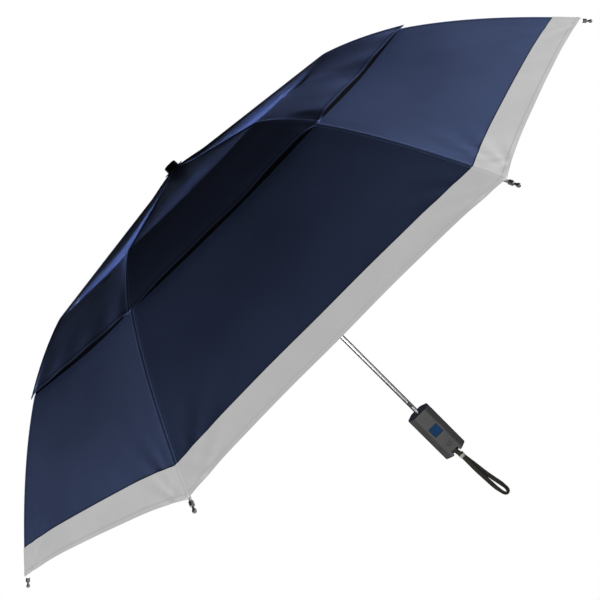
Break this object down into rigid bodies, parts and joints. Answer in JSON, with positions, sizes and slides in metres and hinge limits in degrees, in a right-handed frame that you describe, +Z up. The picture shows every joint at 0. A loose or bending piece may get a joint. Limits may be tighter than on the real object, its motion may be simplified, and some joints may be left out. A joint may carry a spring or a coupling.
{
  "type": "folding umbrella",
  "caption": "Compact folding umbrella, opened: vented double canopy on folding steel ribs, sliding runner, telescoping shaft and a boxy handle with a push button.",
  "frame": {"origin": "on the shaft's axis, at the middle of the handle, where a hand grips it", "axes": "+Z up the shaft towards the crown, -Y out of the handle's button face, +X to the right of a viewer who faces the button"},
  "size_m": [0.9048, 0.9048, 0.6669],
  "materials": {
    "navy_fabric": "plain-woven polyester, soft sheen",
    "grey_fabric": "light grey reflective band, satin",
    "rib_steel": "plated steel",
    "chrome": "polished",
    "black_plastic": "moulded, fine grain",
    "handle_plastic": "soft-touch charcoal",
    "button_plastic": "dark blue, satin",
    "strap_webbing": "narrow woven webbing",
    "crimp_metal": "pale nickel, satin"
  },
  "bodies": {
    "handle": {"handle_front": "handle_plastic", "handle_back": "handle_plastic", "lower_tube": "chrome", "wrist_strap": "strap_webbing", "strap_crimp": "crimp_metal"},
    "upper_shaft": {"upper_tube": "chrome", "top_notch": "black_plastic", "notch_wire": "rib_steel", "crown_washer": "black_plastic", "crown_cap": "black_plastic", "opening_spring": "rib_steel", "top_canopy": "navy_fabric", "lower_canopy": "navy_fabric", "canopy_border": "grey_fabric"},
    "runner": {"runner": "black_plastic", "runner_wire": "rib_steel"},
    "button": {"button": "button_plastic", "button_spring": "rib_steel"},
    "latch": {"latch_lever": "black_plastic"},
    "catch": {"shaft_catch": "black_plastic"},
    "top_rib_1": {"top_rib_1": "rib_steel"},
    "middle_rib_1": {"middle_rib_1": "rib_steel"},
    "outer_rib_1": {"outer_rib_1": "rib_steel", "rib_tip_1": "chrome"},
    "stretcher_1": {"stretcher_1": "rib_steel"},
    "top_rib_2": {"top_rib_2": "rib_steel"},
    "middle_rib_2": {"middle_rib_2": "rib_steel"},
    "outer_rib_2": {"outer_rib_2": "rib_steel", "rib_tip_2": "chrome"},
    "stretcher_2": {"stretcher_2": "rib_steel"},
    "top_rib_3": {"top_rib_3": "rib_steel"},
    "middle_rib_3": {"middle_rib_3": "rib_steel"},
    "outer_rib_3": {"outer_rib_3": "rib_steel", "rib_tip_3": "chrome"},
    "stretcher_3": {"stretcher_3": "rib_steel"},
    "top_rib_4": {"top_rib_4": "rib_steel"},
    "middle_rib_4": {"middle_rib_4": "rib_steel"},
    "outer_rib_4": {"outer_rib_4": "rib_steel", "rib_tip_4": "chrome"},
    "stretcher_4": {"stretcher_4": "rib_steel"},
    "top_rib_5": {"top_rib_5": "rib_steel"},
    "middle_rib_5": {"middle_rib_5": "rib_steel"},
    "outer_rib_5": {"outer_rib_5": "rib_steel", "rib_tip_5": "chrome"},
    "stretcher_5": {"stretcher_5": "rib_steel"},
    "top_rib_6": {"top_rib_6": "rib_steel"},
    "middle_rib_6": {"middle_rib_6": "rib_steel"},
    "outer_rib_6": {"outer_rib_6": "rib_steel", "rib_tip_6": "chrome"},
    "stretcher_6": {"stretcher_6": "rib_steel"},
    "top_rib_7": {"top_rib_7": "rib_steel"},
    "middle_rib_7": {"middle_rib_7": "rib_steel"},
    "outer_rib_7": {"outer_rib_7": "rib_steel", "rib_tip_7": "chrome"},
    "stretcher_7": {"stretcher_7": "rib_steel"},
    "top_rib_8": {"top_rib_8": "rib_steel"},
    "middle_rib_8": {"middle_rib_8": "rib_steel"},
    "outer_rib_8": {"outer_rib_8": "rib_steel", "rib_tip_8": "chrome"},
    "stretcher_8": {"stretcher_8": "rib_steel"}
  },
  "joints": [
    {"name": "shaft_slide", "type": "slide", "parent": "handle", "child": "upper_shaft", "axis": [0, 0, 1], "range_m": [-0.135, 0], "stiffness_N_per_m": 60, "springref_m": 0.15, "deforming": ["opening_spring"]},
    {"name": "runner_slide", "type": "slide", "parent": "upper_shaft", "child": "runner", "axis": [0, 0, 1], "range_m": [-0.171, 0], "stiffness_N_per_m": 60, "springref_m": 0.25, "deforming": ["top_canopy", "lower_canopy", "canopy_border"]},
    {"name": "top_rib_1_hinge", "type": "hinge", "parent": "upper_shaft", "child": "top_rib_1", "pos_m": [0.00325, -0.00785, 0.4975], "axis": [0.9239, 0.3827, 0], "range_deg": [0, 85.84]},
    {"name": "middle_rib_1_hinge", "type": "hinge", "parent": "top_rib_1", "child": "middle_rib_1", "pos_m": [0.04764, -0.11502, 0.4913], "axis": [0.9239, 0.3827, 0], "range_deg": [-180.62, 0]},
    {"name": "outer_rib_1_hinge", "type": "hinge", "parent": "middle_rib_1", "child": "outer_rib_1", "pos_m": [0.09204, -0.22219, 0.4774], "axis": [0.9239, 0.3827, 0], "range_deg": [0, 149.19]},
    {"name": "stretcher_1_hinge", "type": "hinge", "parent": "runner", "child": "stretcher_1", "pos_m": [0.00723, -0.00675, 0.3966], "axis": [0.9239, 0.3827, 0], "range_deg": [-42.08, 0]},
    {"name": "top_rib_2_hinge", "type": "hinge", "parent": "upper_shaft", "child": "top_rib_2", "pos_m": [0.00785, -0.00325, 0.4975], "axis": [0.3827, 0.9239, 0], "range_deg": [0, 85.84]},
    {"name": "middle_rib_2_hinge", "type": "hinge", "parent": "top_rib_2", "child": "middle_rib_2", "pos_m": [0.11502, -0.04764, 0.4913], "axis": [0.3827, 0.9239, 0], "range_deg": [-180.62, 0]},
    {"name": "outer_rib_2_hinge", "type": "hinge", "parent": "middle_rib_2", "child": "outer_rib_2", "pos_m": [0.22219, -0.09204, 0.4774], "axis": [0.3827, 0.9239, 0], "range_deg": [0, 149.19]},
    {"name": "stretcher_2_hinge", "type": "hinge", "parent": "runner", "child": "stretcher_2", "pos_m": [0.00988, 0.00034, 0.3966], "axis": [0.3827, 0.9239, 0], "range_deg": [-42.08, 0]},
    {"name": "top_rib_3_hinge", "type": "hinge", "parent": "upper_shaft", "child": "top_rib_3", "pos_m": [0.00785, 0.00325, 0.4975], "axis": [-0.3827, 0.9239, 0], "range_deg": [0, 85.84]},
    {"name": "middle_rib_3_hinge", "type": "hinge", "parent": "top_rib_3", "child": "middle_rib_3", "pos_m": [0.11502, 0.04764, 0.4913], "axis": [-0.3827, 0.9239, 0], "range_deg": [-180.62, 0]},
    {"name": "outer_rib_3_hinge", "type": "hinge", "parent": "middle_rib_3", "child": "outer_rib_3", "pos_m": [0.22219, 0.09204, 0.4774], "axis": [-0.3827, 0.9239, 0], "range_deg": [0, 149.19]},
    {"name": "stretcher_3_hinge", "type": "hinge", "parent": "runner", "child": "stretcher_3", "pos_m": [0.00675, 0.00723, 0.3966], "axis": [-0.3827, 0.9239, 0], "range_deg": [-42.08, 0]},
    {"name": "top_rib_4_hinge", "type": "hinge", "parent": "upper_shaft", "child": "top_rib_4", "pos_m": [0.00325, 0.00785, 0.4975], "axis": [-0.9239, 0.3827, 0], "range_deg": [0, 85.84]},
    {"name": "middle_rib_4_hinge", "type": "hinge", "parent": "top_rib_4", "child": "middle_rib_4", "pos_m": [0.04764, 0.11502, 0.4913], "axis": [-0.9239, 0.3827, 0], "range_deg": [-180.62, 0]},
    {"name": "outer_rib_4_hinge", "type": "hinge", "parent": "middle_rib_4", "child": "outer_rib_4", "pos_m": [0.09204, 0.22219, 0.4774], "axis": [-0.9239, 0.3827, 0], "range_deg": [0, 149.19]},
    {"name": "stretcher_4_hinge", "type": "hinge", "parent": "runner", "child": "stretcher_4", "pos_m": [-0.00034, 0.00988, 0.3966], "axis": [-0.9239, 0.3827, 0], "range_deg": [-42.08, 0]},
    {"name": "top_rib_5_hinge", "type": "hinge", "parent": "upper_shaft", "child": "top_rib_5", "pos_m": [-0.00325, 0.00785, 0.4975], "axis": [-0.9239, -0.3827, 0], "range_deg": [0, 85.84]},
    {"name": "middle_rib_5_hinge", "type": "hinge", "parent": "top_rib_5", "child": "middle_rib_5", "pos_m": [-0.04764, 0.11502, 0.4913], "axis": [-0.9239, -0.3827, 0], "range_deg": [-180.62, 0]},
    {"name": "outer_rib_5_hinge", "type": "hinge", "parent": "middle_rib_5", "child": "outer_rib_5", "pos_m": [-0.09204, 0.22219, 0.4774], "axis": [-0.9239, -0.3827, 0], "range_deg": [0, 149.19]},
    {"name": "stretcher_5_hinge", "type": "hinge", "parent": "runner", "child": "stretcher_5", "pos_m": [-0.00723, 0.00675, 0.3966], "axis": [-0.9239, -0.3827, 0], "range_deg": [-42.08, 0]},
    {"name": "top_rib_6_hinge", "type": "hinge", "parent": "upper_shaft", "child": "top_rib_6", "pos_m": [-0.00785, 0.00325, 0.4975], "axis": [-0.3827, -0.9239, 0], "range_deg": [0, 85.84]},
    {"name": "middle_rib_6_hinge", "type": "hinge", "parent": "top_rib_6", "child": "middle_rib_6", "pos_m": [-0.11502, 0.04764, 0.4913], "axis": [-0.3827, -0.9239, 0], "range_deg": [-180.62, 0]},
    {"name": "outer_rib_6_hinge", "type": "hinge", "parent": "middle_rib_6", "child": "outer_rib_6", "pos_m": [-0.22219, 0.09204, 0.4774], "axis": [-0.3827, -0.9239, 0], "range_deg": [0, 149.19]},
    {"name": "stretcher_6_hinge", "type": "hinge", "parent": "runner", "child": "stretcher_6", "pos_m": [-0.00988, -0.00034, 0.3966], "axis": [-0.3827, -0.9239, 0], "range_deg": [-42.08, 0]},
    {"name": "top_rib_7_hinge", "type": "hinge", "parent": "upper_shaft", "child": "top_rib_7", "pos_m": [-0.00785, -0.00325, 0.4975], "axis": [0.3827, -0.9239, 0], "range_deg": [0, 85.84]},
    {"name": "middle_rib_7_hinge", "type": "hinge", "parent": "top_rib_7", "child": "middle_rib_7", "pos_m": [-0.11502, -0.04764, 0.4913], "axis": [0.3827, -0.9239, 0], "range_deg": [-180.62, 0]},
    {"name": "outer_rib_7_hinge", "type": "hinge", "parent": "middle_rib_7", "child": "outer_rib_7", "pos_m": [-0.22219, -0.09204, 0.4774], "axis": [0.3827, -0.9239, 0], "range_deg": [0, 149.19]},
    {"name": "stretcher_7_hinge", "type": "hinge", "parent": "runner", "child": "stretcher_7", "pos_m": [-0.00675, -0.00723, 0.3966], "axis": [0.3827, -0.9239, 0], "range_deg": [-42.08, 0]},
    {"name": "top_rib_8_hinge", "type": "hinge", "parent": "upper_shaft", "child": "top_rib_8", "pos_m": [-0.00325, -0.00785, 0.4975], "axis": [0.9239, -0.3827, 0], "range_deg": [0, 85.84]},
    {"name": "middle_rib_8_hinge", "type": "hinge", "parent": "top_rib_8", "child": "middle_rib_8", "pos_m": [-0.04764, -0.11502, 0.4913], "axis": [0.9239, -0.3827, 0], "range_deg": [-180.62, 0]},
    {"name": "outer_rib_8_hinge", "type": "hinge", "parent": "middle_rib_8", "child": "outer_rib_8", "pos_m": [-0.09204, -0.22219, 0.4774], "axis": [0.9239, -0.3827, 0], "range_deg": [0, 149.19]},
    {"name": "stretcher_8_hinge", "type": "hinge", "parent": "runner", "child": "stretcher_8", "pos_m": [0.00034, -0.00988, 0.3966], "axis": [0.9239, -0.3827, 0], "range_deg": [-42.08, 0]},
    {"name": "button_slide", "type": "slide", "parent": "handle", "child": "button", "axis": [0, 1, 0], "range_m": [0, 0.0015], "stiffness_N_per_m": 400, "springref_m": -0.001, "deforming": ["button_spring"]},
    {"name": "latch_hinge", "type": "hinge", "parent": "handle", "child": "latch", "pos_m": [0.0062, -0.004, -0.01], "axis": [1, 0, 0], "range_deg": [-4, 0]},
    {"name": "catch_slide", "type": "slide", "parent": "handle", "child": "catch", "axis": [0, 1, 0], "range_m": [0, 0.0015], "stiffness_N_per_m": 300, "springref_m": -0.001}
  ],
  "couplings": [
    {"joint": "top_rib_1_hinge", "follows": "runner_slide", "rad_per_m": -8.7603},
    {"joint": "middle_rib_1_hinge", "follows": "runner_slide", "rad_per_m": 18.434},
    {"joint": "outer_rib_1_hinge", "follows": "runner_slide", "rad_per_m": -15.226},
    {"joint": "stretcher_1_hinge", "follows": "runner_slide", "rad_per_m": 4.2938},
    {"joint": "top_rib_2_hinge", "follows": "runner_slide", "rad_per_m": -8.7603},
    {"joint": "middle_rib_2_hinge", "follows": "runner_slide", "rad_per_m": 18.434},
    {"joint": "outer_rib_2_hinge", "follows": "runner_slide", "rad_per_m": -15.226},
    {"joint": "stretcher_2_hinge", "follows": "runner_slide", "rad_per_m": 4.2938},
    {"joint": "top_rib_3_hinge", "follows": "runner_slide", "rad_per_m": -8.7603},
    {"joint": "middle_rib_3_hinge", "follows": "runner_slide", "rad_per_m": 18.434},
    {"joint": "outer_rib_3_hinge", "follows": "runner_slide", "rad_per_m": -15.226},
    {"joint": "stretcher_3_hinge", "follows": "runner_slide", "rad_per_m": 4.2938},
    {"joint": "top_rib_4_hinge", "follows": "runner_slide", "rad_per_m": -8.7603},
    {"joint": "middle_rib_4_hinge", "follows": "runner_slide", "rad_per_m": 18.434},
    {"joint": "outer_rib_4_hinge", "follows": "runner_slide", "rad_per_m": -15.226},
    {"joint": "stretcher_4_hinge", "follows": "runner_slide", "rad_per_m": 4.2938},
    {"joint": "top_rib_5_hinge", "follows": "runner_slide", "rad_per_m": -8.7603},
    {"joint": "middle_rib_5_hinge", "follows": "runner_slide", "rad_per_m": 18.434},
    {"joint": "outer_rib_5_hinge", "follows": "runner_slide", "rad_per_m": -15.226},
    {"joint": "stretcher_5_hinge", "follows": "runner_slide", "rad_per_m": 4.2938},
    {"joint": "top_rib_6_hinge", "follows": "runner_slide", "rad_per_m": -8.7603},
    {"joint": "middle_rib_6_hinge", "follows": "runner_slide", "rad_per_m": 18.434},
    {"joint": "outer_rib_6_hinge", "follows": "runner_slide", "rad_per_m": -15.226},
    {"joint": "stretcher_6_hinge", "follows": "runner_slide", "rad_per_m": 4.2938},
    {"joint": "top_rib_7_hinge", "follows": "runner_slide", "rad_per_m": -8.7603},
    {"joint": "middle_rib_7_hinge", "follows": "runner_slide", "rad_per_m": 18.434},
    {"joint": "outer_rib_7_hinge", "follows": "runner_slide", "rad_per_m": -15.226},
    {"joint": "stretcher_7_hinge", "follows": "runner_slide", "rad_per_m": 4.2938},
    {"joint": "top_rib_8_hinge", "follows": "runner_slide", "rad_per_m": -8.7603},
    {"joint": "middle_rib_8_hinge", "follows": "runner_slide", "rad_per_m": 18.434},
    {"joint": "outer_rib_8_hinge", "follows": "runner_slide", "rad_per_m": -15.226},
    {"joint": "stretcher_8_hinge", "follows": "runner_slide", "rad_per_m": 4.2938},
    {"joint": "latch_hinge", "follows": "button_slide", "rad_per_m": -45.96}
  ]
}
